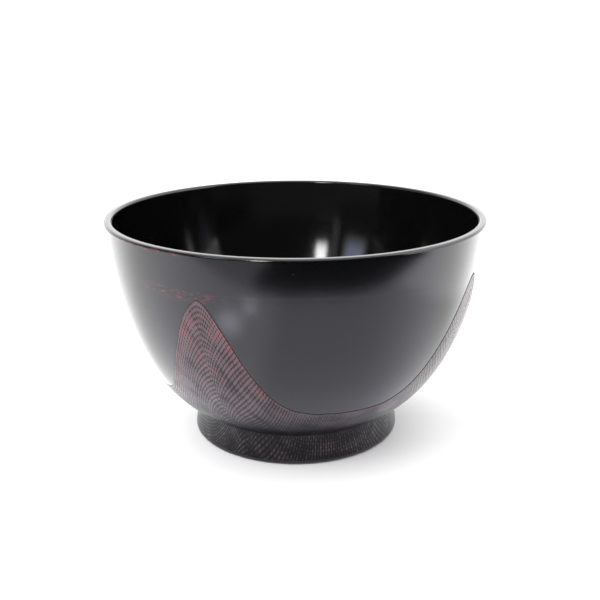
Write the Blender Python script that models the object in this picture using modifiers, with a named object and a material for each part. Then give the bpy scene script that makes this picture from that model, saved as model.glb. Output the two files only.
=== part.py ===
"""Lacquered rice bowl: a turned wooden core, two lacquered hemp cloths and four coats of lacquer.

The bowl stands on z = 0 with its axis on Z, and its front is towards -Y.
Every layer is its own closed solid, and a small gap keeps each one clear of the next.
"""

import math

import bmesh
import bpy
from mathutils import Vector

MM = 0.001

# Finished shape
RIM_RADIUS = 60 * MM
RIM_HEIGHT = 72 * MM
LIP_THICKNESS = 2.5 * MM
LIP_ROUNDING = 0.8 * MM
NECK_RADIUS = 32.5 * MM
NECK_HEIGHT = 9.5 * MM
NECK_FILLET = 1.2 * MM
FOOT_RADIUS = 34.2 * MM
FOOT_EDGE_ROUNDING = 1 * MM
LANDING_WIDTH = 4 * MM
RECESS_TOP_RADIUS = 28.5 * MM
RECESS_DEPTH = 6 * MM
RECESS_FILLET = 2 * MM
FLOOR_HEIGHT = 12.5 * MM

# Handles that bend the outer wall between neck and rim, and the inner wall between floor and lip
OUTER_LOW_HANDLE = Vector((50.8, 19.4)) * MM
OUTER_HIGH_HANDLE = Vector((59.1, 47.6)) * MM
INNER_LOW_HANDLE = Vector((42, 12.5)) * MM
INNER_HIGH_HANDLE = Vector((55.2, 36)) * MM

# Layers
LAYER_THICKNESS = 0.45 * MM
GAP = 0.3 * MM
CORE_INSET = LAYER_THICKNESS + GAP
CORE_LIP_ROUNDING = 0.3 * MM
FOOT_EDGE_HEIGHT = 1.3 * MM
CORE_BOTTOM = FOOT_EDGE_HEIGHT + GAP
RIM_CLOTH_BOTTOM = 60.4 * MM

# The wrapping cloth is a square, so its edge rises to four corners a quarter turn apart
CLOTH_LOW = 18.5 * MM
CLOTH_RISE = 39.5 * MM
CORNER_SPREAD = math.radians(14.6)
CORNER_SHARPNESS = 1.7
FRONT_CORNER = math.radians(-26.8)
QUARTER_TURN = math.pi / 2

# Mesh resolution
STEPS_AROUND = 64
OUTER_STEPS = 10
INNER_STEPS = 9
ARC_STEPS = 2
MERGE_DISTANCE = 0.01 * MM
CURVE_SAMPLES = 200
CUTTER_RADIUS = 80 * MM


def clear_scene():
    for obj in list(bpy.data.objects):
        bpy.data.objects.remove(obj, do_unlink=True)


def material(name, colour, roughness):
    new = bpy.data.materials.new(name)
    new.use_nodes = True
    shader = new.node_tree.nodes["Principled BSDF"]
    shader.inputs["Base Color"].default_value = (*colour, 1)
    shader.inputs["Roughness"].default_value = roughness
    shader.inputs["Metallic"].default_value = 0
    new.diffuse_color = (*colour, 1)
    return new


# Outlines are lists of (radius, height) points, ordered so that the bowl's outside runs downwards.


def bezier(start, low, high, end, steps):
    points = []
    for i in range(steps + 1):
        t = i / steps
        u = 1 - t
        points.append(start * u**3 + low * (3 * u * u * t) + high * (3 * u * t * t) + end * t**3)
    return points


def outer_wall(steps):
    neck = Vector((NECK_RADIUS, NECK_HEIGHT))
    rim = Vector((RIM_RADIUS, RIM_HEIGHT))
    return bezier(rim, OUTER_HIGH_HANDLE, OUTER_LOW_HANDLE, neck, steps)


def inner_wall(steps):
    centre = Vector((0, FLOOR_HEIGHT))
    lip = Vector((RIM_RADIUS - LIP_THICKNESS, RIM_HEIGHT))
    return bezier(centre, INNER_LOW_HANDLE, INNER_HIGH_HANDLE, lip, steps)


def rounded_corner(before, corner, after, radius):
    """The points of an arc of this radius that touches both lines through the corner."""
    towards = (before - corner).normalized()
    away = (after - corner).normalized()
    half_angle = towards.angle(away) / 2
    centre = corner + (towards + away).normalized() * (radius / math.sin(half_angle))
    first = corner + towards * (radius / math.tan(half_angle)) - centre
    last = corner + away * (radius / math.tan(half_angle)) - centre
    sweep = first.angle_signed(last)
    arc = []
    for i in range(ARC_STEPS + 1):
        turn = -sweep * i / ARC_STEPS
        cosine = math.cos(turn)
        sine = math.sin(turn)
        arc.append(centre + Vector((first.x * cosine - first.y * sine, first.x * sine + first.y * cosine)))
    return arc


def inset(points, distance):
    """The outline moved into the material by this distance. A point on the axis stays on it."""
    moved = []
    for i, point in enumerate(points):
        before = point - points[i - 1] if i > 0 else points[1] - point
        after = points[i + 1] - point if i < len(points) - 1 else before
        before_normal = Vector((before.y, -before.x)).normalized()
        after_normal = Vector((after.y, -after.x)).normalized()
        middle = (before_normal + after_normal).normalized()
        new = point + middle * (distance / middle.dot(after_normal))
        moved.append(Vector((0, new.y)) if point.x == 0 else new)
    return moved


def foot_side():
    """From the end of the wall round the neck fillet, then down the foot to its bottom corner."""
    wall = outer_wall(OUTER_STEPS)
    bottom = Vector((FOOT_RADIUS, 0))
    return rounded_corner(wall[-2], wall[-1], bottom, NECK_FILLET) + [bottom]


def recess_outline():
    """From the bottom corner inside the foot, up and across the ceiling of the recess to the axis."""
    bottom = Vector((FOOT_RADIUS - LANDING_WIDTH, 0))
    corner = Vector((RECESS_TOP_RADIUS, RECESS_DEPTH))
    axis = Vector((0, RECESS_DEPTH))
    return [bottom] + rounded_corner(bottom, corner, axis, RECESS_FILLET) + [axis]


def lip_outline(inner_edge, outer_edge, top, rounding):
    inner = Vector((inner_edge, top))
    outer = Vector((outer_edge, top))
    down = Vector((0, -1))
    over_inner = rounded_corner(inner + down, inner, outer, rounding)
    return over_inner + rounded_corner(inner, outer, outer + down, rounding)


def at_height(before, after, height):
    return before.lerp(after, (height - before.y) / (after.y - before.y))


def above(points, height):
    """The stretch of a steady outline above this height, cut where it crosses it."""
    kept = []
    for i, point in enumerate(points):
        if i > 0 and (points[i - 1].y > height) != (point.y > height):
            kept.append(at_height(points[i - 1], point, height))
        if point.y > height:
            kept.append(point)
    return kept


def below(points, height):
    flipped = [Vector((point.x, -point.y)) for point in points]
    return [Vector((point.x, -point.y)) for point in above(flipped, -height)]


def turned(name, outline, axis_object, collection):
    """A mesh object made by turning the outline about Z with a Screw modifier."""
    mesh = bpy.data.meshes.new(name)
    vertices = [(max(point.x, 0), 0, point.y) for point in outline]
    edges = [(i, i + 1) for i in range(len(outline) - 1)]
    mesh.from_pydata(vertices, edges, [])
    obj = bpy.data.objects.new(name, mesh)
    collection.objects.link(obj)
    obj.parent = axis_object
    screw = obj.modifiers.new("Turn", "SCREW")
    screw.axis = "Z"
    screw.steps = STEPS_AROUND
    screw.render_steps = STEPS_AROUND
    screw.use_merge_vertices = True
    screw.merge_threshold = MERGE_DISTANCE
    screw.use_smooth_shade = True
    return obj


def thicken(obj):
    solidify = obj.modifiers.new("Thickness", "SOLIDIFY")
    solidify.thickness = LAYER_THICKNESS
    solidify.offset = -1
    solidify.use_even_offset = True


def cloth_edge(angle, clearance):
    """How far up the wall from the neck an edge lies that stays this clear of the cloth's own edge."""
    from_corner = abs((angle + QUARTER_TURN / 2) % QUARTER_TURN - QUARTER_TURN / 2)
    turn = max(from_corner - clearance / RIM_RADIUS, 0)
    return CLOTH_LOW + CLOTH_RISE * math.exp(-((turn / CORNER_SPREAD) ** CORNER_SHARPNESS)) + clearance


def climb(points, distance):
    """The point this far along a list of points."""
    left = distance
    for start, end in zip(points, points[1:]):
        step = (end - start).length
        if left <= step:
            return start.lerp(end, left / step)
        left -= step
    return points[-1]


def edge_cutter(name, clearance, axis_object, collection):
    """A drum whose top is a fan from the middle of the rim, through the cloth's edge on the wall."""
    drum = bmesh.new()
    bmesh.ops.create_cone(
        drum,
        cap_ends=True,
        cap_tris=True,
        segments=STEPS_AROUND,
        radius1=CUTTER_RADIUS,
        radius2=CUTTER_RADIUS,
        depth=2 * CUTTER_RADIUS,
    )
    wall = list(reversed(outer_wall(CURVE_SAMPLES)))
    for vertex in drum.verts:
        if vertex.co.z > 0 and vertex.co.xy.length > CUTTER_RADIUS / 2:
            edge = climb(wall, cloth_edge(math.atan2(vertex.co.y, vertex.co.x), clearance))
            vertex.co.z = RIM_HEIGHT - (RIM_HEIGHT - edge.y) * CUTTER_RADIUS / edge.x
        elif vertex.co.z > 0:
            vertex.co.z = RIM_HEIGHT
    mesh = bpy.data.meshes.new(name)
    drum.to_mesh(mesh)
    drum.free()
    obj = bpy.data.objects.new(name, mesh)
    collection.objects.link(obj)
    obj.parent = axis_object
    obj.hide_render = True
    obj.display_type = "WIRE"
    return obj


def cut(obj, operation, cutter):
    boolean = obj.modifiers.new("Cloth edge", "BOOLEAN")
    boolean.operation = operation
    boolean.solver = "EXACT"
    boolean.object = cutter


def wood_core(axis_object, collection):
    lip = lip_outline(
        RIM_RADIUS - LIP_THICKNESS + CORE_INSET,
        RIM_RADIUS - CORE_INSET,
        RIM_HEIGHT - CORE_INSET,
        CORE_LIP_ROUNDING,
    )
    inner = below(inset(inner_wall(INNER_STEPS), CORE_INSET), lip[0].y)
    wall = below(outer_wall(OUTER_STEPS), RIM_HEIGHT - CORE_INSET - CORE_LIP_ROUNDING)
    outer = inset(wall[:-1] + foot_side(), CORE_INSET)
    recess = inset(recess_outline(), CORE_INSET)
    outline = inner[:-1] + lip + above(outer[1:], CORE_BOTTOM) + above(recess, CORE_BOTTOM)
    obj = turned("wood_core", outline, axis_object, collection)
    obj.data.materials.append(material("turned_wood", (0.42, 0.25, 0.13), 0.6))
    return obj


def inner_lacquer(axis_object, collection):
    outline = below(inner_wall(INNER_STEPS), RIM_HEIGHT - LIP_ROUNDING - GAP)
    obj = turned("inner_lacquer", outline, axis_object, collection)
    thicken(obj)
    obj.data.materials.append(material("gloss_black_lacquer", (0.004, 0.004, 0.004), 0.08))
    return obj


def rim_cloth(axis_object, collection):
    lip = lip_outline(RIM_RADIUS - LIP_THICKNESS, RIM_RADIUS, RIM_HEIGHT, LIP_ROUNDING)
    wall = below(outer_wall(OUTER_STEPS), RIM_HEIGHT - 2 * LIP_ROUNDING)
    obj = turned("rim_cloth", lip + above(wall, RIM_CLOTH_BOTTOM), axis_object, collection)
    thicken(obj)
    obj.data.materials.append(material("lacquered_rim_cloth", (0.03, 0.028, 0.03), 0.35))
    return obj


def wrap_cloth(axis_object, collection, cutters):
    wall = below(outer_wall(OUTER_STEPS), RIM_CLOTH_BOTTOM - GAP)
    outline = wall[:-1] + above(foot_side(), CORE_BOTTOM)
    obj = turned("wrap_cloth", outline, axis_object, collection)
    thicken(obj)
    cut(obj, "INTERSECT", edge_cutter("inside_cloth_edge", 0, axis_object, cutters))
    obj.data.materials.append(material("lacquered_hemp_cloth", (0.07, 0.03, 0.03), 0.5))
    return obj


def outer_lacquer(axis_object, collection, cutters):
    wall = below(outer_wall(OUTER_STEPS), RIM_CLOTH_BOTTOM - GAP)
    obj = turned("outer_lacquer", wall, axis_object, collection)
    thicken(obj)
    cut(obj, "DIFFERENCE", edge_cutter("clear_of_cloth_edge", GAP, axis_object, cutters))
    obj.data.materials.append(material("satin_black_lacquer", (0.02, 0.02, 0.023), 0.3))
    return obj


def recess_lacquer(axis_object, collection):
    obj = turned("recess_lacquer", above(recess_outline(), CORE_BOTTOM), axis_object, collection)
    thicken(obj)
    obj.data.materials.append(material("recess_black_lacquer", (0.012, 0.012, 0.012), 0.25))
    return obj


def foot_edge(axis_object, collection):
    """The black build-up under the foot: flat where the bowl stands, flat again under the wood."""
    outer_top = at_height(foot_side()[-2], foot_side()[-1], FOOT_EDGE_HEIGHT)
    outer_bottom = Vector((FOOT_RADIUS, 0))
    inner_bottom = recess_outline()[0]
    inner_top = at_height(inner_bottom, recess_outline()[1], FOOT_EDGE_HEIGHT)
    bottom = rounded_corner(outer_top, outer_bottom, inner_bottom, FOOT_EDGE_ROUNDING)
    bottom += rounded_corner(outer_bottom, inner_bottom, inner_top, FOOT_EDGE_ROUNDING)
    outline = [outer_top] + bottom + [inner_top, outer_top]
    obj = turned("foot_edge", outline, axis_object, collection)
    obj.data.materials.append(material("foot_black_lacquer", (0.015, 0.015, 0.015), 0.3))
    return obj


def main():
    clear_scene()
    collection = bpy.data.collections.new("rice_bowl")
    cutters = bpy.data.collections.new("rice_bowl_cutters")
    bpy.context.scene.collection.children.link(collection)
    bpy.context.scene.collection.children.link(cutters)
    axis_object = bpy.data.objects.new("bowl_axis", None)
    axis_object.rotation_euler.z = FRONT_CORNER
    collection.objects.link(axis_object)
    wood_core(axis_object, collection)
    inner_lacquer(axis_object, collection)
    rim_cloth(axis_object, collection)
    wrap_cloth(axis_object, collection, cutters)
    outer_lacquer(axis_object, collection, cutters)
    recess_lacquer(axis_object, collection)
    foot_edge(axis_object, collection)


main()
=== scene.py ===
"""The looks of the lacquered rice bowl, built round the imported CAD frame.

Lengths are in metres. The bowl's axis is Z, it stands on z = 0, and its front is towards -Y.
Places on the outside are a world angle round the axis and a climb, the distance up the surface
from the neck above the foot. The cloth is a flat square of threads that was laid on the bowl.
"""

import math

import bpy
import numpy as np
from mathutils import Euler, Matrix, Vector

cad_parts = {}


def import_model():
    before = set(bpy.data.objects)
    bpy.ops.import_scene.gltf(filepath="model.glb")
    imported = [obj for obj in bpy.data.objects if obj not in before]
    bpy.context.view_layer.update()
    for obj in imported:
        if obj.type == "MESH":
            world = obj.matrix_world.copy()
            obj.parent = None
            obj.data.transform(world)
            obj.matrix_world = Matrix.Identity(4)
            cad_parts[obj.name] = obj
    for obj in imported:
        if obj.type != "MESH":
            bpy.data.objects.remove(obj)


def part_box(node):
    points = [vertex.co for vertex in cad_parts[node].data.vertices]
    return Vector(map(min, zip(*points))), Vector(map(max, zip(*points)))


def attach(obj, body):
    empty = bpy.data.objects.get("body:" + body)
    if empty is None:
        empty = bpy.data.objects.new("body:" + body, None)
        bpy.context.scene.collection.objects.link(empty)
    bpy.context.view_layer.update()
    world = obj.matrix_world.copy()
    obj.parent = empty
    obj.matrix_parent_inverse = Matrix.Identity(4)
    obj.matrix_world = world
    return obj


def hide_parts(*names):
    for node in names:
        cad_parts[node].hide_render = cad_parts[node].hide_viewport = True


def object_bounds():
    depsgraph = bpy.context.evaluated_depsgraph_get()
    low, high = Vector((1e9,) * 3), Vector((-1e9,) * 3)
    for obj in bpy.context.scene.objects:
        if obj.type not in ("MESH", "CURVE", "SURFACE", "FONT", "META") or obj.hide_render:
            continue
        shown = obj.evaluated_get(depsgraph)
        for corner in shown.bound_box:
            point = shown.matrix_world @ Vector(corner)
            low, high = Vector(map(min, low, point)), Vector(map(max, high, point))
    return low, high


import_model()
cad_low, cad_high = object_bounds()

MM = 0.001

# The finished shape. What the frame's boxes give comes from them, the rest repeats the CAD's dimensions.
RIM_RADIUS = round(cad_high.x, 4)
RIM_HEIGHT = round(cad_high.z, 4)
LIP_THICKNESS = 2.5 * MM
LIP_ROUNDING = 0.8 * MM
NECK = np.array((32.5, 9.5)) * MM
NECK_FILLET = 1.2 * MM
OUTER_LOW_HANDLE = np.array((50.8, 19.4)) * MM
OUTER_HIGH_HANDLE = np.array((59.1, 47.6)) * MM
FLOOR_HEIGHT = 12.5 * MM
INNER_LOW_HANDLE = np.array((42, 12.5)) * MM
INNER_HIGH_HANDLE = np.array((55.2, 36)) * MM
FOOT_RADIUS = round(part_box("foot_edge")[1].x, 4)
FOOT_ROUNDING = 1 * MM
FOOT_BAND_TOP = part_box("foot_edge")[1].z
LANDING_WIDTH = 4 * MM
RECESS_RADIUS = 28.5 * MM
RECESS_DEPTH = 6 * MM
RECESS_FILLET = 2 * MM

# The skins over the core, and the seams between them
COAT_DEPTH = 0.6 * MM
SEAM = 0.02 * MM
RIM_CLOTH_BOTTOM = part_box("rim_cloth")[0].z

# The cloth's edge on the bowl: low in the middle of each side, and high at the four corners
CLOTH_LOW = 18.5 * MM
CLOTH_RISE = 39.5 * MM
CORNER_SPREAD = math.radians(14.6)
CORNER_SHARPNESS = 1.7
FIRST_CORNER = math.radians(-116.8)
QUARTER = math.pi / 2

# The flat cloth: threads from its middle to its edge, and mesh steps for each. CLOTH_AT_NECK is how far
# the neck lies from its middle, measured over the bowl.
THREADS = 60
SAMPLES = 2
CLOTH_AT_NECK = 48 * MM

# The weave: how high its threads stand, and the crests of warp and weft as shares of that
WEAVE_RELIEF = 0.16 * MM
WARP_CREST = 0.8
WEFT_CREST = 0.45
OVER_UNDER = 0.22

# Mesh resolution
COLUMNS = 600
TURNED_STEPS = 360
BINDING_ROWS = 16


# ---- Turned shapes -------------------------------------------------------------------------


def bezier(start, low, high, end, steps):
    t = np.linspace(0, 1, steps + 1)[:, None]
    u = 1 - t
    return u**3 * start + 3 * u * u * t * low + 3 * u * t * t * high + t**3 * end


def outer_wall(steps):
    """Neck to rim."""
    return bezier(NECK, OUTER_LOW_HANDLE, OUTER_HIGH_HANDLE, np.array((RIM_RADIUS, RIM_HEIGHT)), steps)


def inner_wall(steps):
    """Middle of the floor to the lip."""
    lip = np.array((RIM_RADIUS - LIP_THICKNESS, RIM_HEIGHT))
    return bezier(np.array((0, FLOOR_HEIGHT)), INNER_LOW_HANDLE, INNER_HIGH_HANDLE, lip, steps)


def corner_arc(before, corner, after, radius, steps=6):
    """The points of an arc of this radius that touches both lines through the corner."""
    before, corner, after = (np.array(point, float) for point in (before, corner, after))
    towards = (before - corner) / np.linalg.norm(before - corner)
    away = (after - corner) / np.linalg.norm(after - corner)
    half = math.acos(float(np.clip(towards @ away, -1, 1))) / 2
    centre = corner + (towards + away) / np.linalg.norm(towards + away) * radius / math.sin(half)
    first = corner + towards * radius / math.tan(half) - centre
    last = corner + away * radius / math.tan(half) - centre
    sweep = math.atan2(first[0] * last[1] - first[1] * last[0], first @ last)
    turns = np.linspace(0, sweep, steps + 1)
    x = first[0] * np.cos(turns) - first[1] * np.sin(turns)
    y = first[0] * np.sin(turns) + first[1] * np.cos(turns)
    return centre + np.stack([x, y], 1)


def lengths(points):
    """How far along the outline each point lies."""
    return np.concatenate([[0], np.cumsum(np.linalg.norm(np.diff(points, axis=0), axis=1))])


def beside(points, distance):
    """The outline moved this far to the right of its own direction."""
    step = np.gradient(points, axis=0)
    step /= np.linalg.norm(step, axis=1)[:, None]
    return points + np.stack([step[:, 1], -step[:, 0]], 1) * distance


def side_path():
    """The foot's side, the neck fillet and the wall, bottom to top, with each point's climb."""
    wall = outer_wall(800)
    climb = lengths(wall)
    bottom = np.array((FOOT_RADIUS, 0))
    fillet = corner_arc(bottom, NECK, wall[1], NECK_FILLET, 12)
    tangent = np.linalg.norm(fillet[0] - NECK)
    foot = bottom + (fillet[0] - bottom) * np.linspace(0, 1, 40)[:, None]
    kept = climb > tangent
    path = np.concatenate([foot, fillet[1:], wall[kept]])
    along = lengths(path)
    joint = len(path) - kept.sum()
    return path, along - along[joint] + climb[kept][0]


SIDE, SIDE_CLIMB = side_path()


def on_side(climb, proud=0.0):
    """(radius, height) at this climb, moved out from the surface by proud."""
    step = 0.05 * MM
    radius, height = (np.interp(climb, SIDE_CLIMB, SIDE[:, axis]) for axis in (0, 1))
    above, below = (
        np.array([np.interp(place, SIDE_CLIMB, SIDE[:, axis]) for axis in (0, 1)])
        for place in (climb + step, climb - step)
    )
    rise_r, rise_z = above - below
    run = np.maximum(np.hypot(rise_r, rise_z), 1e-12)
    return radius + proud * rise_z / run, height - proud * rise_r / run


def climb_at(height):
    """The climb at which the outside has this height."""
    return float(np.interp(height, SIDE[:, 1], SIDE_CLIMB))


def on_bowl(turn, climb, proud):
    """World points on the outside."""
    radius, height = on_side(climb, proud)
    return np.stack([radius * np.cos(turn), radius * np.sin(turn), height], -1)


def away_from(turn, azimuth):
    """How far the turn lies past an azimuth, which is in degrees from -Y towards +X: in radians, signed."""
    return (turn - math.radians(azimuth - 90) + math.pi) % math.tau - math.pi


# ---- Unevenness ----------------------------------------------------------------------------


def smooth_step(value, low, high):
    share = np.clip((value - low) / (high - low), 0, 1)
    return share * share * (3 - 2 * share)


def wander(a, b, pace, seed):
    """Smooth unevenness of a and b, mostly between -1 and 1, that changes over about 1 / pace."""
    random = np.random.default_rng(seed)
    total = np.zeros(np.broadcast(a, b).shape)
    for _ in range(8):
        along, across = random.normal(0, pace, 2)
        total += np.sin(a * along + b * across + random.uniform(0, math.tau))
    return total / 2.5


def round_the_bowl(turn, seed, low=9, high=60, waves=14):
    """Unevenness that meets itself after a full turn, mostly between -1 and 1."""
    random = np.random.default_rng(seed)
    total = np.zeros(np.shape(turn))
    for _ in range(waves):
        total += np.sin(random.integers(low, high) * turn + random.uniform(0, math.tau))
    return total / math.sqrt(waves)


# ---- The two seams -------------------------------------------------------------------------


def cloth_edge(turn, clearance=0.0):
    """The climb of an edge that stays this far outside the cloth's own hand-cut edge."""
    from_corner = np.abs((turn - FIRST_CORNER + QUARTER / 2) % QUARTER - QUARTER / 2)
    moved = np.maximum(from_corner - clearance / RIM_RADIUS, 0)
    edge = CLOTH_LOW + CLOTH_RISE * np.exp(-((moved / CORNER_SPREAD) ** CORNER_SHARPNESS))
    return edge + clearance + 0.12 * MM * round_the_bowl(turn, 3)


def rim_seam(turn):
    """The climb of the rim cloth's lower edge."""
    return climb_at(RIM_CLOTH_BOTTOM) + 0.2 * MM * round_the_bowl(turn, 4, 3, 24)


# ---- Meshes --------------------------------------------------------------------------------


def mesh_object(name, points, faces, material, crease=40):
    mesh = bpy.data.meshes.new(name)
    mesh.from_pydata(points.tolist(), [], faces)
    mesh.shade_smooth()
    mesh.set_sharp_from_angle(angle=math.radians(crease))
    mesh.materials.append(material)
    piece = bpy.data.objects.new(name, mesh)
    bpy.context.scene.collection.objects.link(piece)
    return piece


def write_attribute(piece, name, values):
    """One number for each of the piece's points, for its material to read."""
    layer = piece.data.attributes.new(name, "FLOAT", "POINT")
    layer.data.foreach_set("value", values.ravel())


def ring_quads(rows, columns, closed=False):
    """Quads over a grid of rings, joined round, and from the last ring to the first if closed."""
    row, column = np.meshgrid(np.arange(rows if closed else rows - 1), np.arange(columns), indexing="ij")
    side = (column + 1) % columns
    above = (row + 1) % rows * columns
    below = row * columns
    return np.stack([below + column, below + side, above + side, above + column], -1).reshape(-1, 4)


def turned(name, outline, material, closed=True):
    """A solid turned from a loop of points, or from a run of points that starts and ends on the axis."""
    outline = np.array(outline)
    turns = FIRST_CORNER + np.arange(TURNED_STEPS) * math.tau / TURNED_STEPS
    rings = outline if closed else outline[1:-1]
    heights = np.repeat(rings[:, 1:], TURNED_STEPS, axis=1)
    points = np.stack([rings[:, :1] * np.cos(turns), rings[:, :1] * np.sin(turns), heights], 2).reshape(-1, 3)
    faces = ring_quads(len(rings), TURNED_STEPS, closed).tolist()
    if not closed:
        first = len(points)
        top_ring = (len(rings) - 1) * TURNED_STEPS
        points = np.concatenate([points, [(0, 0, outline[0, 1]), (0, 0, outline[-1, 1])]])
        for column in range(TURNED_STEPS):
            side = (column + 1) % TURNED_STEPS
            faces.append((first, side, column))
            faces.append((first + 1, top_ring + column, top_ring + side))
    return mesh_object(name, points, faces, material)


def shell(name, turn, climb, proud, quads, material, **attributes):
    """A closed skin, with its outer face at turn, climb and proud, and its inner face COAT_DEPTH down."""
    used, quads = np.unique(quads, return_inverse=True)
    quads = quads.reshape(-1, 4)
    shape = np.shape(turn)
    turn, climb, proud = (np.broadcast_to(values, shape).ravel()[used] for values in (turn, climb, proud))
    points = np.concatenate([on_bowl(turn, climb, proud), on_bowl(turn, climb, -COAT_DEPTH)])
    edges = np.concatenate([quads[:, [i, (i + 1) % 4]] for i in range(4)])
    _, first, count = np.unique(np.sort(edges, axis=1), axis=0, return_index=True, return_counts=True)
    rim = edges[first[count == 1]]
    sides = np.stack([rim[:, 1], rim[:, 0], rim[:, 0] + len(used), rim[:, 1] + len(used)], 1)
    faces = np.concatenate([quads, quads[:, ::-1] + len(used), sides]).tolist()
    piece = mesh_object(name, points, faces, material, crease=60)
    for key, values in attributes.items():
        write_attribute(piece, key, np.tile(values.ravel()[used], 2))
    return piece


# ---- Material nodes ------------------------------------------------------------------------


class Graph:
    """A short way to write a material's nodes."""

    def __init__(self, name):
        self.material = bpy.data.materials.new(name)
        self.material.use_nodes = True
        self.tree = self.material.node_tree
        self.shader = self.tree.nodes["Principled BSDF"]

    def node(self, kind, inputs=None, **settings):
        new = self.tree.nodes.new(kind)
        for key, value in settings.items():
            setattr(new, key, value)
        for key, value in (inputs or {}).items():
            self.put(new.inputs[key], value)
        return new

    def put(self, socket, value):
        if isinstance(value, bpy.types.NodeSocket):
            self.tree.links.new(value, socket)
        elif value is not None:
            socket.default_value = value

    def math(self, operation, a, b=None, c=None, clamp=False):
        new = self.node("ShaderNodeMath", operation=operation, use_clamp=clamp)
        for socket, value in zip(new.inputs, (a, b, c)):
            self.put(socket, value)
        return new.outputs[0]

    def add(self, *values):
        total = values[0]
        for value in values[1:]:
            total = self.math("ADD", total, value)
        return total

    def times(self, *values):
        total = values[0]
        for value in values[1:]:
            total = self.math("MULTIPLY", total, value)
        return total

    def length(self, a, b):
        return self.math("SQRT", self.add(self.times(a, a), self.times(b, b)))

    def degrees(self, across, along):
        """The angle from the along direction towards the across direction."""
        return self.times(self.math("ARCTAN2", across, along), math.degrees(1))

    def ramp(self, value, low, high, to_low=0.0, to_high=1.0):
        new = self.node("ShaderNodeMapRange", interpolation_type="SMOOTHSTEP")
        for socket, number in zip(new.inputs, (value, low, high, to_low, to_high)):
            self.put(socket, number)
        return new.outputs[0]

    def position(self):
        return self.node("ShaderNodeTexCoord").outputs["Object"]

    def xyz(self):
        return self.node("ShaderNodeSeparateXYZ", {"Vector": self.position()}).outputs

    def attribute(self, name):
        return self.node("ShaderNodeAttribute", attribute_name=name).outputs["Fac"]

    def stretched(self, vector, scale):
        return self.node("ShaderNodeMapping", {"Vector": vector, "Scale": scale}).outputs[0]

    def noise(self, vector, size, detail=2.0, roughness=0.5):
        """Noise whose blotches are about this many metres wide."""
        inputs = {"Vector": vector, "Scale": 1 / size, "Detail": detail, "Roughness": roughness}
        return self.node("ShaderNodeTexNoise", inputs).outputs["Fac"]

    def mix(self, factor, a, b):
        new = self.node("ShaderNodeMix", data_type="RGBA")
        for socket, value in ((new.inputs[0], factor), (new.inputs[6], a), (new.inputs[7], b)):
            self.put(socket, value)
        return new.outputs[2]

    def bump(self, height, distance, normal=None):
        inputs = {"Height": height, "Distance": distance, "Strength": 1.0, "Normal": normal}
        return self.node("ShaderNodeBump", inputs).outputs[0]

    def finish(self, **sockets):
        for key, value in sockets.items():
            self.put(self.shader.inputs[key.replace("_", " ")], value)
        return self.material


def grey(value, tint=(1, 1, 1)):
    return (value * tint[0], value * tint[1], value * tint[2], 1)


LACQUER_IOR = 1.54
GRAIN_BUMP = 0.022 * MM
COOL = (0.9, 0.95, 1.15)
SATIN_BLACKS = (grey(0.001, COOL), grey(0.003, COOL))
WHITE = (1, 1, 1, 1)
COOL_GLOW = (0.97, 0.95, 1.07, 1)
BLUE_GLOW = (0.8, 0.9, 1.3, 1)
UNDERCOAT_RED = (0.17, 0.022, 0.027, 1)
BURIED_THREAD = (0.075, 0.04, 0.043, 1)


def brushed_grain(g, position):
    """The fine grain of a hand-brushed satin coat, with a few dust nibs: a height in units of the bump."""
    grain = g.noise(position, 0.45 * MM, 2)
    dust = g.ramp(g.noise(position, 0.9 * MM, 0), 0.83, 0.9)
    return g.add(g.times(grain, 0.6), dust)


def satin_material(name, low_roughness, high_roughness):
    """Satin lacquer whose gloss varies in upright streaks."""
    g = Graph(name)
    position = g.position()
    streaks = g.noise(g.stretched(position, (1, 1, 0.15)), 3 * MM, 2)
    return g.finish(
        Base_Color=g.mix(g.noise(position, 1 * MM, 2), *SATIN_BLACKS),
        Roughness=g.ramp(streaks, 0.3, 0.7, low_roughness, high_roughness),
        IOR=LACQUER_IOR,
        Normal=g.bump(brushed_grain(g, position), GRAIN_BUMP),
    )


def worn_satin_material(name):
    """Satin lacquer that use has polished on the lip, and rubbed through to red in short dashes."""
    g = Graph(name)
    position = g.position()
    dashes = g.ramp(g.noise(g.stretched(position, (1, 1, 2.6)), 1.6 * MM, 2, 0.6), 0.5, 0.63)
    polish = g.ramp(g.xyz()[2], RIM_HEIGHT - 2 * MM, RIM_HEIGHT - 0.5 * MM)
    mottle = g.noise(position, 0.8 * MM, 2)
    black = g.mix(mottle, *SATIN_BLACKS)
    return g.finish(
        Base_Color=g.mix(g.math("MULTIPLY", g.attribute("wear"), dashes, clamp=True), black, UNDERCOAT_RED),
        Roughness=g.add(g.ramp(polish, 0, 1, 0.15, 0.1), g.times(mottle, 0.04)),
        IOR=LACQUER_IOR,
        Normal=g.bump(brushed_grain(g, position), GRAIN_BUMP),
    )


def gloss_material(name):
    """Polished lacquer, with slow waves in it."""
    g = Graph(name)
    position = g.position()
    waves = g.noise(position, 14 * MM, 1)
    return g.finish(
        Base_Color=g.mix(g.noise(position, 3 * MM, 2), grey(0.0015), grey(0.003)),
        Roughness=g.ramp(g.noise(position, 5 * MM, 2), 0.3, 0.7, 0.08, 0.11),
        IOR=LACQUER_IOR,
        Normal=g.bump(waves, 0.05 * MM),
    )


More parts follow.
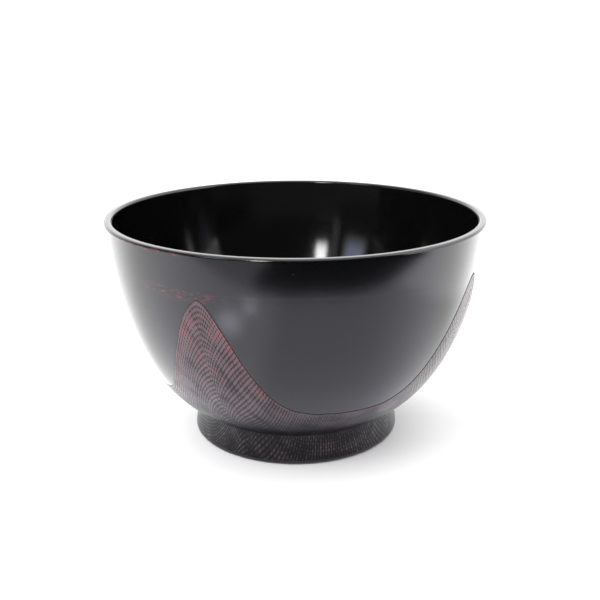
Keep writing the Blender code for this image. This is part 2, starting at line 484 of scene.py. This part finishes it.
def cloth_material(name):
    """Hemp threads under thin lacquer: red where the high threads are rubbed, black in the holes, partly
    lacquer in the weave and partly painted shade.
    """
    g = Graph(name)
    position = g.position()
    relief = g.attribute("relief")
    wear = g.attribute("wear")
    fibre = g.noise(position, 0.5 * MM, 3, 0.6)
    patchy = g.ramp(g.noise(position, 2.5 * MM, 3, 0.6), 0.4, 0.62, 0.15, 1.1)
    crest = g.ramp(g.add(relief, g.times(fibre, 0.3)), 0.35, 0.8)
    rubbed = g.math("MULTIPLY", g.times(wear, patchy), crest, clamp=True)
    # Black in the holes to brown on the crests, by height: partly lacquer lying in the weave, partly painted
    # shade in its hollows.
    lacquer_and_hollow_shade = g.mix(g.ramp(g.add(relief, g.times(fibre, 0.3)), 0.3, 0.9), grey(0.0025), BURIED_THREAD)
    height = g.add(fibre, g.times(g.noise(position, 0.2 * MM, 1), 0.3))
    return g.finish(
        Base_Color=g.mix(rubbed, lacquer_and_hollow_shade, UNDERCOAT_RED),
        Roughness=g.ramp(g.add(relief, g.times(fibre, 0.4)), 0.2, 1.1, 0.38, 0.26),
        Specular_IOR_Level=g.ramp(relief, 0.05, 0.5, 0.15, 0.5),
        IOR=LACQUER_IOR,
        Normal=g.bump(height, 0.035 * MM),
    )


def wood_material(name):
    """Bare turned wood, with its grain along Y."""
    g = Graph(name)
    position = g.position()
    along = g.stretched(position, (1, 0.12, 1))
    rings = g.node("ShaderNodeTexWave", {"Vector": along, "Scale": 180, "Distortion": 4, "Detail": 3})
    fibres = g.noise(g.stretched(position, (1, 0.05, 1)), 0.4 * MM, 3)
    tone = g.add(g.times(fibres, 0.4), g.times(rings.outputs["Fac"], 0.6))
    return g.finish(
        Base_Color=g.mix(tone, (0.36, 0.2, 0.1, 1), (0.55, 0.36, 0.2, 1)),
        Roughness=0.6,
        Normal=g.bump(fibres, 0.03 * MM),
    )


# ---- The cloth -----------------------------------------------------------------------------


def laid_on_bowl(warp, weft):
    """The turn and climb of a point of the flat cloth, given in threads from its middle."""
    turn = np.arctan2(weft, warp)
    reach = np.maximum(np.abs(warp), np.abs(weft)) / THREADS
    turn = turn + FIRST_CORNER - QUARTER / 2
    return turn, reach * (cloth_edge(turn) + CLOTH_AT_NECK) - CLOTH_AT_NECK


def thread_sizes(places, seed):
    """A thickness for each thread, looked up by place."""
    sizes = np.random.default_rng(seed).uniform(0.72, 1.12, 2 * THREADS + 1)
    return sizes[np.clip(np.floor(places + THREADS), 0, 2 * THREADS).astype(int)]


def weave_relief(warp, weft):
    """The height of a plain weave with its warp on top, from 0 in the holes to about 1 on the crests."""
    over = np.sin(math.pi * warp) * np.sin(math.pi * weft)
    corner = smooth_step(np.minimum(np.abs(warp), np.abs(weft)) / THREADS, 0.72, 0.9)
    warp_top = (WARP_CREST + OVER_UNDER * over) * thread_sizes(warp, 5)
    weft_top = (WEFT_CREST + 0.3 * corner - OVER_UNDER * over) * thread_sizes(weft, 6)
    return np.maximum(np.sin(math.pi * warp) ** 2 * warp_top, np.sin(math.pi * weft) ** 2 * weft_top)


# How far each corner's peak is rubbed, from the front left one anticlockwise
PEAK_WEAR = (1.0, 0.12, 0.75, 0.5)
# Where lacquer fills the weave: degrees from -Y towards +X, climb and size in millimetres
FILLED_PATCHES = ((-39.5, 27.5, 4.2), (38, 16, 5), (118, 30, 6), (205, 24, 5))


def cloth_wear(warp, weft, turn, climb):
    """1 where the threads are rubbed bare, 0 where the lacquer is whole."""
    from_edge = THREADS - np.maximum(np.abs(warp), np.abs(weft))
    peak = np.floor(((turn - FIRST_CORNER + QUARTER / 2) % math.tau) / QUARTER).astype(int) % 4
    rubbed = np.array(PEAK_WEAR)[peak]
    by_side = np.where(np.abs(weft) > np.abs(warp), 0.45, 1)
    edge = smooth_step(from_edge, 5, 0.5) * smooth_step(climb, 18 * MM, 32 * MM) * by_side
    edge *= smooth_step(climb, 56 * MM, 48 * MM)
    spread = smooth_step(climb, 20 * MM, 34 * MM) * (0.24 + 0.16 * wander(warp, weft, 0.35, 11))
    spots = smooth_step(wander(warp, weft, 0.9, 12), 1.15, 1.6) * smooth_step(climb, 12 * MM, 24 * MM)
    foot = smooth_step(climb, 0.5 * MM, -2 * MM) * (0.4 + 0.25 * wander(warp, weft, 0.5, 13))
    return np.clip(rubbed * (edge + spread + 0.5 * spots) + foot, 0, 1)


def lacquer_fill(turn, climb):
    """1 where lacquer has filled the weave level, 0 where it lies open."""
    filled = np.zeros(turn.shape)
    for azimuth, centre, size in FILLED_PATCHES:
        across = away_from(turn, azimuth) * on_side(climb)[0]
        distance = np.hypot(across, (climb - centre * MM) * 1.3)
        filled = np.maximum(filled, smooth_step(distance, size * MM, 0.5 * size * MM))
    return filled


def hemp_wrap():
    """The square cloth from the foot to its four corners, with every thread in its mesh."""
    places = np.linspace(-THREADS, THREADS, 2 * THREADS * SAMPLES + 1)
    weft, warp = np.meshgrid(places, places, indexing="ij")
    from_edge = THREADS - np.maximum(np.abs(warp), np.abs(weft))
    loose = smooth_step(from_edge, 0, 3)
    warp_drift = 0.1 * loose * wander(warp, weft, 0.3, 7)
    weft_drift = 0.1 * loose * wander(warp, weft, 0.3, 8)
    turn, climb = laid_on_bowl(warp + warp_drift, weft + weft_drift)
    bottom = climb_at(FOOT_BAND_TOP) + SEAM
    below = climb < bottom
    climb = np.maximum(climb, bottom)
    corners = np.arange(warp.size).reshape(warp.shape)
    quads = np.stack([corners[:-1, :-1], corners[1:, :-1], corners[1:, 1:], corners[:-1, 1:]], -1)
    quads = quads.reshape(-1, 4)
    quads = quads[~below.ravel()[quads].all(axis=1)]
    filled = lacquer_fill(turn, climb)
    open_weave = (1 - filled) * (0.45 + 0.55 * smooth_step(climb, 10 * MM, 24 * MM))
    open_weave *= 0.85 + 0.15 * wander(warp, weft, 0.6, 9)
    relief = weave_relief(warp, weft) * open_weave
    # The value the cloth's colour follows: its relief, which puts painted shade in the holes and darkens the
    # cloth low down where the weave lies shallower, plus a mid value where lacquer fills the weave.
    shade = relief + 0.42 * filled
    settled = smooth_step(climb, bottom, bottom + 0.6 * MM)
    proud = settled * (0.02 * MM + WEAVE_RELIEF * relief)
    piece = shell(
        "hemp_wrap", turn, climb, proud, quads, cloth_material("worn_hemp_weave"),
        relief=shade, wear=cloth_wear(warp, weft, turn, climb),
    )
    declare(piece, "wrap_cloth")


# ---- Other pieces --------------------------------------------------------------------------


def declare(piece, node):
    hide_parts(node)
    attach(piece, "root")


def columns():
    return np.arange(COLUMNS) * math.tau / COLUMNS


def satin_coat():
    """The brushed coat between the cloth and the rim, which sinks a little along the cloth's edge."""
    turn = columns()
    top = rim_seam(turn) - SEAM
    clearances = np.array([0.05, 0.2, 0.4, 0.7, 1.1]) * MM
    low = np.array([np.minimum(cloth_edge(turn, clearance), top - 0.3 * MM) for clearance in clearances])
    share = np.linspace(0, 1, 60)[1:, None]
    climb = np.concatenate([low, low[-1] + (top - low[-1]) * share])
    proud = np.zeros(climb.shape)
    proud[:2] = np.array([[-0.03], [-0.012]]) * MM
    piece = shell(
        "satin_coat", np.broadcast_to(turn, climb.shape), climb, proud,
        ring_quads(len(climb), COLUMNS), worn_satin_material("satin_black"), wear=seam_wear(turn, climb),
    )
    declare(piece, "outer_lacquer")


# Rubbed stretches of the rim: degrees from -Y towards +X, half width, and the share of wear
WORN_SEAM = ((-32, 12, 0.6), (128, 16, 0.5), (212, 12, 0.45))
WORN_LIP = ((-44, 15, 0.8), (54, 8, 0.5), (140, 18, 0.7), (255, 14, 0.5))


def stretches(turn, places):
    """The share of wear round the rim."""
    wear = np.zeros(turn.shape)
    for azimuth, half_width, share in places:
        away = away_from(turn, azimuth) / math.radians(half_width)
        wear = np.maximum(wear, share * np.exp(-(away**4)))
    return wear


def seam_wear(turn, climb):
    """Wear over the step at the rim cloth's lower edge, where the cloth lifts the lacquer."""
    above = climb - rim_seam(turn)
    near = smooth_step(above, -3 * MM, -0.3 * MM) * smooth_step(above, 1.4 * MM, 0.2 * MM)
    return stretches(turn, WORN_SEAM) * near


def rim_binding():
    """The cloth strip over the lip, sunk in lacquer but for a faint step at its lower edge."""
    turn = columns()
    inner = RIM_RADIUS - LIP_THICKNESS
    low = rim_seam(turn)
    high = climb_at(RIM_HEIGHT - LIP_ROUNDING)
    climb = low + (high - low) * np.linspace(0, 1, BINDING_ROWS)[:, None]
    turns = np.broadcast_to(turn, climb.shape)
    step = smooth_step(climb - low, 0, 0.8 * MM) * smooth_step(high - climb, 0, 1.5 * MM)
    face = on_bowl(turns, climb, step * 0.015 * MM)
    top = RIM_HEIGHT
    outer_lip = corner_arc((RIM_RADIUS, 0), (RIM_RADIUS, top), (inner, top), LIP_ROUNDING, 8)
    rings = np.concatenate([
        outer_lip,
        corner_arc((RIM_RADIUS, top), (inner, top), (inner, 0), LIP_ROUNDING, 8),
        [(inner + COAT_DEPTH, top - LIP_ROUNDING)],
        [(inner + COAT_DEPTH, top - COAT_DEPTH)],
        [(RIM_RADIUS - COAT_DEPTH, top - COAT_DEPTH)],
    ])
    around = np.stack([
        rings[:, :1] * np.cos(turn), rings[:, :1] * np.sin(turn), np.repeat(rings[:, 1:], COLUMNS, axis=1)
    ], -1)
    back = on_bowl(turns[::-1], climb[::-1], -COAT_DEPTH)
    grid = np.concatenate([face, around, back])
    piece = mesh_object(
        "rim_binding", grid.reshape(-1, 3), ring_quads(len(grid), COLUMNS, True).tolist(),
        worn_satin_material("worn_rim"),
    )
    wear = np.zeros(grid.shape[:2])
    outside = len(face) + len(outer_lip)
    from_line = (grid[:outside, :, 2] - (top - 0.7 * MM)) / (0.35 * MM)
    wear[:outside] = stretches(turn, WORN_LIP) * np.exp(-(from_line**2))
    wear[:len(face)] += seam_wear(turns, climb)
    write_attribute(piece, "wear", wear)
    declare(piece, "rim_cloth")


def gloss_lining():
    wall = inner_wall(120)
    stop = RIM_HEIGHT - LIP_ROUNDING
    edge = np.array([(np.interp(stop, wall[:, 1], wall[:, 0]), stop)])
    face = np.concatenate([wall[wall[:, 1] < stop], edge])
    back = beside(face, COAT_DEPTH)
    back[0, 0] = 0
    outline = np.concatenate([back, face[::-1]])
    piece = turned("gloss_lining", outline, gloss_material("gloss_black"), closed=False)
    declare(piece, "inner_lacquer")


def recess_outline():
    """From the foot band's inner edge to the middle of the recess."""
    bottom = np.array((FOOT_RADIUS - LANDING_WIDTH, 0))
    corner = np.array((RECESS_RADIUS, RECESS_DEPTH))
    start = bottom + (corner - bottom) * FOOT_BAND_TOP / RECESS_DEPTH
    arc = corner_arc(bottom, corner, (0, RECESS_DEPTH), RECESS_FILLET)
    floor = np.stack([np.linspace(arc[-1, 0], 0, 12), np.full(12, RECESS_DEPTH)], 1)
    return np.concatenate([[start], arc, floor[1:]])


def recess_coat():
    face = recess_outline()
    back = beside(face, COAT_DEPTH)
    back[-1, 0] = 0
    outline = np.concatenate([face[::-1], back])
    piece = turned("recess_coat", outline, satin_material("recess_black", 0.14, 0.2), closed=False)
    declare(piece, "recess_lacquer")


def foot_band():
    outer_top = np.array(on_side(climb_at(FOOT_BAND_TOP)))
    inner_top = recess_outline()[0]
    outer = (FOOT_RADIUS, 0)
    inner = (FOOT_RADIUS - LANDING_WIDTH, 0)
    outline = np.concatenate([
        [inner_top],
        corner_arc(inner_top, inner, outer, FOOT_ROUNDING),
        corner_arc(inner, outer, outer_top, FOOT_ROUNDING),
        [outer_top],
    ])
    piece = turned("foot_band", outline, satin_material("foot_black", 0.3, 0.45))
    declare(piece, "foot_edge")


def turned_core():
    """The wood under the coats, which show none of it."""
    inset = COAT_DEPTH + SEAM
    lip = RIM_HEIGHT - inset
    inner = beside(inner_wall(60), inset)
    inner[0, 0] = 0
    inner = inner[inner[:, 1] < lip - 0.3 * MM]
    outer = np.stack(on_side(np.linspace(climb_at(lip), climb_at(FOOT_BAND_TOP) + SEAM, 90), -inset), 1)
    outer = outer[outer[:, 1] < lip]
    top = np.array([(inner[-1, 0], lip), (outer[0, 0], lip)])
    recess = beside(recess_outline(), inset)
    recess[0, 1] = outer[-1, 1]
    recess[-1, 0] = 0
    outline = np.concatenate([inner, top, outer, recess])
    piece = turned("turned_core", outline[::-1], wood_material("turned_zelkova"), closed=False)
    declare(piece, "wood_core")


# ---- Camera and stage ----------------------------------------------------------------------


def camera():
    """A close view from the front, a little above the rim."""
    data = bpy.data.cameras.new("camera")
    data.sensor_width = 36
    data.lens = 52.2
    data.clip_start = 0.01
    seen = bpy.data.objects.new("camera", data)
    aim = Euler((math.radians(90 - 17.5), 0, math.radians(-0.3))).to_matrix().to_4x4()
    roll = Matrix.Rotation(math.radians(-0.15), 4, "Z")
    seen.matrix_world = Matrix.Translation((0, -0.273, 0.1285)) @ aim @ roll
    bpy.context.scene.collection.objects.link(seen)
    bpy.context.scene.camera = seen


def staged(name, points, faces, material):
    mesh = bpy.data.meshes.new(name)
    mesh.from_pydata(points, [], faces)
    mesh.materials.append(material)
    sheet = bpy.data.objects.new(name, mesh)
    bpy.context.scene.collection.objects.link(sheet)
    return sheet


def square(half, height):
    return [(-half, -half, height), (half, -half, height), (half, half, height), (-half, half, height)]


# The stage's sizes, and the height the room's directions are measured from
FLOOR_HALF = 4
REFLECTION_HALF = 0.75
SEEN_FROM = 0.06
ROOM_STEPS = 64
ROOM_RINGS = ((0, REFLECTION_HALF), (0.55, REFLECTION_HALF), (1.1, 0.35), (1.2, 0.02))


def floor():
    g = Graph("white_floor")
    g.finish(Base_Color=grey(0.93), Roughness=0.7)
    staged("floor", square(FLOOR_HALF, -0.1 * MM), [(0, 1, 2, 3)], g.material)


def reflection_only(sheet):
    sheet.visible_camera = False
    sheet.visible_diffuse = False
    sheet.visible_shadow = False
    sheet.visible_transmission = False
    sheet.visible_volume_scatter = False


def emission(g, strength, colour):
    g.tree.nodes.remove(g.shader)
    light = g.node("ShaderNodeEmission", {"Color": colour, "Strength": strength})
    g.tree.links.new(light.outputs[0], g.tree.nodes["Material Output"].inputs[0])
    return g.material


def soft_spot(g, x, y, centre, size):
    """1 at the centre, falling to 0 over this many metres."""
    across = g.math("SUBTRACT", x, centre[0])
    along = g.math("SUBTRACT", y, centre[1])
    return g.ramp(g.length(across, along), size, 0)


def soft_band(g, value, centre, half, fade):
    """1 within half of the centre, falling to 0 over fade."""
    distance = g.math("ABSOLUTE", g.math("SUBTRACT", value, centre))
    return g.ramp(distance, half + fade, half)


def table_reflection():
    """What the lacquer mirrors of the table: brighter at the sides, dark past its front edge, and dimmer near
    the foot, a painted shadow of the bowl.
    """
    g = Graph("table_glow")
    x, y, _ = g.xyz()
    around = g.degrees(g.math("ABSOLUTE", x), g.times(y, -1))
    # Painted shadow of the bowl on the table: the glow is dimmer near the foot.
    near = g.ramp(g.length(x, y), 0.035, 0.055, 0.6, 1)
    left = g.ramp(x, -0.01, -0.035, 0, 0.45)
    sides = g.add(g.ramp(around, 30, 80, 0, 0.65), g.ramp(around, 90, 120, 0, 0.9), left)
    left_lamp = g.times(soft_spot(g, x, y, (-0.066, -0.104), 0.024), 2.6)
    right_lamp = g.times(soft_spot(g, x, y, (-0.054, -0.134), 0.016), 3.0)
    far_right = g.ramp(x, 0.13, 0.16, 0, 0.9)
    slant = g.times(g.math("MAXIMUM", g.math("SUBTRACT", x, 0.03), 0), 0.35)
    past_edge = g.ramp(g.math("SUBTRACT", y, slant), -0.152, -0.176)
    dark = g.times(past_edge, g.ramp(x, -0.08, -0.055, 0.5, 0.99))
    lit = g.add(1.3, sides, left_lamp, right_lamp, far_right)
    strength = g.times(lit, near, g.math("SUBTRACT", 1, dark))
    colour = g.mix(g.ramp(around, 40, 100), COOL_GLOW, WHITE)
    glow = emission(g, strength, colour)
    reflection_only(staged("table_reflection", square(REFLECTION_HALF, 0.2 * MM), [(0, 1, 2, 3)], glow))


def room_reflection():
    """What the lacquer mirrors of the room: a window, a pale wall, dark corners, a bright back and right."""
    g = Graph("room_glow")
    x, y, z = g.xyz()
    azimuth = g.degrees(x, g.times(y, -1))
    elevation = g.degrees(g.math("SUBTRACT", z, SEEN_FROM), g.length(x, y))
    facing = g.math("ABSOLUTE", azimuth)
    window_height = g.times(g.ramp(elevation, 15, 23), g.ramp(elevation, 40, 34))
    window = g.times(soft_band(g, azimuth, -21, 2.6, 3.4), window_height, 22)
    pale = g.times(soft_band(g, azimuth, -48, 4, 8), g.ramp(elevation, 10, 20), g.ramp(elevation, 46, 34))
    beam = g.times(soft_band(g, azimuth, -31, 1, 3), g.ramp(elevation, 46, 34), 0.5)
    low_light = g.ramp(elevation, 14, 11)
    right_light = g.add(1.0, g.ramp(elevation, 18, 30, 0, 2.4), g.times(low_light, 1.6))
    right = g.times(g.ramp(azimuth, 60, 64), right_light)
    left = g.times(g.ramp(azimuth, -58, -70), g.add(0.2, g.times(low_light, 1.2)))
    behind = g.ramp(facing, 100, 140)
    front = g.add(0.04, window, g.times(pale, 3), beam, right, left)
    front = g.times(front, g.math("SUBTRACT", 1, behind))
    sides = g.add(front, g.times(behind, 2.2))
    ceiling = g.ramp(elevation, 42, 56)
    strength = g.add(g.times(sides, g.math("SUBTRACT", 1, ceiling)), g.times(ceiling, 1.9))
    colour = g.mix(pale, WHITE, BLUE_GLOW)
    points = []
    for height, radius in ROOM_RINGS:
        for step in range(ROOM_STEPS):
            turn = step * math.tau / ROOM_STEPS
            points.append((radius * math.sin(turn), -radius * math.cos(turn), height))
    faces = ring_quads(len(ROOM_RINGS), ROOM_STEPS).tolist()
    reflection_only(staged("room_reflection", points, faces, emission(g, strength, colour)))


def softbox(name, location, size, power):
    data = bpy.data.lights.new(name, "AREA")
    data.shape = "SQUARE"
    data.size = size
    data.energy = power
    lamp = bpy.data.objects.new(name, data)
    lamp.location = location
    x, y, z = location
    lamp.rotation_euler = (math.atan2(math.hypot(x, y), z), 0, math.atan2(x, -y))
    lamp.visible_glossy = False
    bpy.context.scene.collection.objects.link(lamp)


def world():
    sky = bpy.data.worlds.new("studio")
    sky.use_nodes = True
    background = sky.node_tree.nodes["Background"]
    background.inputs["Color"].default_value = WHITE
    background.inputs["Strength"].default_value = 1.35
    bpy.context.scene.world = sky
    bpy.context.scene.view_settings.view_transform = "Standard"


hemp_wrap()
satin_coat()
rim_binding()
gloss_lining()
recess_coat()
foot_band()
turned_core()
camera()
floor()
table_reflection()
room_reflection()
softbox("key", (-0.6, -0.4, 0.6), 0.6, 5)
world()
